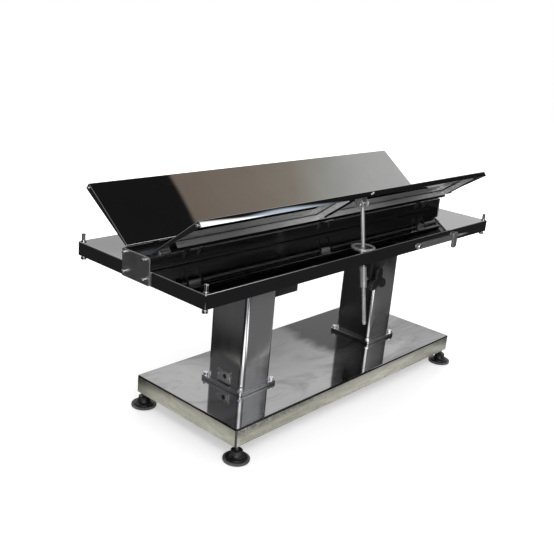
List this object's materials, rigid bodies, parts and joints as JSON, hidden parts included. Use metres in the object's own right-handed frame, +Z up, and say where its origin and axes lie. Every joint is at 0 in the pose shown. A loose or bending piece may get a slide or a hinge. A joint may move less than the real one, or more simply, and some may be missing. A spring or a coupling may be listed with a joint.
{
  "type": "operating table",
  "caption": "Stainless operating table: hinged wings in a V over a tray deck, stay rods with clamp knobs, telescopic lifting columns and a low base on levelling feet.",
  "frame": {"origin": "on the floor, under the middle of the deck tray", "axes": "+X along the table towards the end with the side lever, +Y to the back, +Z up"},
  "size_m": [1.3306, 0.5134, 0.6834],
  "materials": {
    "tray_steel": "mirror-polished stainless sheet",
    "base_steel": "polished stainless sheet",
    "column_steel": "brushed stainless tube",
    "frame_steel": "bright welded stainless",
    "bright_chrome": "bright chrome",
    "black_paint": "black painted",
    "black_plastic": "black moulded"
  },
  "bodies": {
    "base": {"base_cover": "base_steel", "base_rail_front": "frame_steel", "base_rail_rear": "frame_steel", "base_cross_left": "frame_steel", "base_cross_right": "frame_steel", "left_foot_flange": "base_steel", "right_foot_flange": "base_steel", "left_column_tube": "column_steel", "right_column_tube": "column_steel", "left_column_collar": "black_plastic", "right_column_collar": "black_plastic", "left_actuator": "black_paint", "right_actuator": "black_paint", "control_box": "base_steel", "service_plate": "base_steel"},
    "right_lift": {"right_lift_tube": "column_steel", "right_column_head": "column_steel", "tilt_pin": "bright_chrome", "right_actuator_rod": "bright_chrome"},
    "left_lift": {"left_lift_tube": "column_steel"},
    "left_head": {"left_tilt_tube": "column_steel", "left_column_head": "column_steel", "slide_pin": "bright_chrome", "left_actuator_rod": "bright_chrome"},
    "deck": {"deck_tray": "tray_steel", "front_rod_ring": "bright_chrome", "rear_rod_ring": "bright_chrome", "front_left_post": "bright_chrome", "front_right_post": "bright_chrome", "rear_left_post": "bright_chrome", "rear_right_post": "bright_chrome", "deck_rail_front": "frame_steel", "deck_rail_rear": "frame_steel", "deck_cross_left": "frame_steel", "deck_cross_right": "frame_steel", "tilt_mount": "frame_steel", "slide_mount": "frame_steel", "centre_channel": "base_steel", "front_hinge_pin": "bright_chrome", "rear_hinge_pin": "bright_chrome", "left_end_plate": "base_steel", "right_end_plate": "base_steel", "front_clamp_bracket": "black_paint", "rear_clamp_bracket": "black_paint"},
    "lever": {"side_lever": "base_steel"},
    "front_wing": {"front_wing": "tray_steel", "front_wing_frame": "frame_steel"},
    "front_rod": {"front_stay_rod": "bright_chrome"},
    "front_sleeve": {"front_clamp_sleeve": "bright_chrome"},
    "front_knob": {"front_clamp_knob": "black_plastic"},
    "rear_wing": {"rear_wing": "tray_steel", "rear_wing_frame": "frame_steel"},
    "rear_rod": {"rear_stay_rod": "bright_chrome"},
    "rear_sleeve": {"rear_clamp_sleeve": "bright_chrome"},
    "rear_knob": {"rear_clamp_knob": "black_plastic"},
    "foot_front_left": {"foot_front_left": "black_plastic"},
    "foot_front_right": {"foot_front_right": "black_plastic"},
    "foot_rear_left": {"foot_rear_left": "black_plastic"},
    "foot_rear_right": {"foot_rear_right": "black_plastic"}
  },
  "joints": [
    {"name": "lift", "type": "slide", "parent": "base", "child": "right_lift", "axis": [0, 0, 1], "range_m": [0, 0.22]},
    {"name": "left_lift_follow", "type": "slide", "parent": "base", "child": "left_lift", "axis": [0, 0, 1], "range_m": [0, 0.22]},
    {"name": "tilt", "type": "hinge", "parent": "right_lift", "child": "deck", "pos_m": [0.3457, 0, 0.4866], "axis": [0, 1, 0], "range_deg": [0, 7]},
    {"name": "left_head_follow", "type": "slide", "parent": "left_lift", "child": "left_head", "axis": [0, 0, 1], "range_m": [0, 0.0749]},
    {"name": "side_lever_turn", "type": "hinge", "parent": "deck", "child": "lever", "pos_m": [0.225, -0.246, 0.4966], "axis": [0, 1, 0], "range_deg": [0, 45]},
    {"name": "front_wing_hinge", "type": "hinge", "parent": "deck", "child": "front_wing", "pos_m": [0, -0.0648, 0.5689], "axis": [-1, 0, 0], "range_deg": [-36.7, 5]},
    {"name": "front_rod_pivot", "type": "hinge", "parent": "front_wing", "child": "front_rod", "pos_m": [-0.014, -0.19023, 0.64493], "axis": [-1, 0, 0], "range_deg": [-4.4, 32.3]},
    {"name": "front_sleeve_slide", "type": "slide", "parent": "front_rod", "child": "front_sleeve", "axis": [0, -0.1616, -0.9869], "range_m": [-0.091, 0.0124]},
    {"name": "front_knob_turn", "type": "hinge", "parent": "deck", "child": "front_knob", "pos_m": [0.021, -0.2404, 0.43], "axis": [0, -1, 0], "continuous": true},
    {"name": "rear_wing_hinge", "type": "hinge", "parent": "deck", "child": "rear_wing", "pos_m": [0, 0.0648, 0.5689], "axis": [1, 0, 0], "range_deg": [-36.7, 5]},
    {"name": "rear_rod_pivot", "type": "hinge", "parent": "rear_wing", "child": "rear_rod", "pos_m": [0.014, 0.19023, 0.64493], "axis": [1, 0, 0], "range_deg": [-4.4, 32.3]},
    {"name": "rear_sleeve_slide", "type": "slide", "parent": "rear_rod", "child": "rear_sleeve", "axis": [0, 0.1616, -0.9869], "range_m": [-0.091, 0.0124]},
    {"name": "rear_knob_turn", "type": "hinge", "parent": "deck", "child": "rear_knob", "pos_m": [-0.021, 0.2404, 0.43], "axis": [0, 1, 0], "continuous": true},
    {"name": "foot_front_left_turn", "type": "hinge", "parent": "base", "child": "foot_front_left", "pos_m": [-0.454, -0.194, 0], "axis": [0, 0, 1], "continuous": true},
    {"name": "foot_front_right_turn", "type": "hinge", "parent": "base", "child": "foot_front_right", "pos_m": [0.566, -0.194, 0], "axis": [0, 0, 1], "continuous": true},
    {"name": "foot_rear_left_turn", "type": "hinge", "parent": "base", "child": "foot_rear_left", "pos_m": [-0.454, 0.194, 0], "axis": [0, 0, 1], "continuous": true},
    {"name": "foot_rear_right_turn", "type": "hinge", "parent": "base", "child": "foot_rear_right", "pos_m": [0.566, 0.194, 0], "axis": [0, 0, 1], "continuous": true}
  ],
  "couplings": [
    {"joint": "left_lift_follow", "follows": "lift", "ratio": 1},
    {"joint": "left_head_follow", "follows": "tilt", "m_per_rad": 0.6103},
    {"joint": "front_rod_pivot", "follows": "front_wing_hinge", "ratio": -0.88},
    {"joint": "front_sleeve_slide", "follows": "front_wing_hinge", "m_per_rad": 0.142},
    {"joint": "rear_rod_pivot", "follows": "rear_wing_hinge", "ratio": -0.88},
    {"joint": "rear_sleeve_slide", "follows": "rear_wing_hinge", "m_per_rad": 0.142}
  ]
}
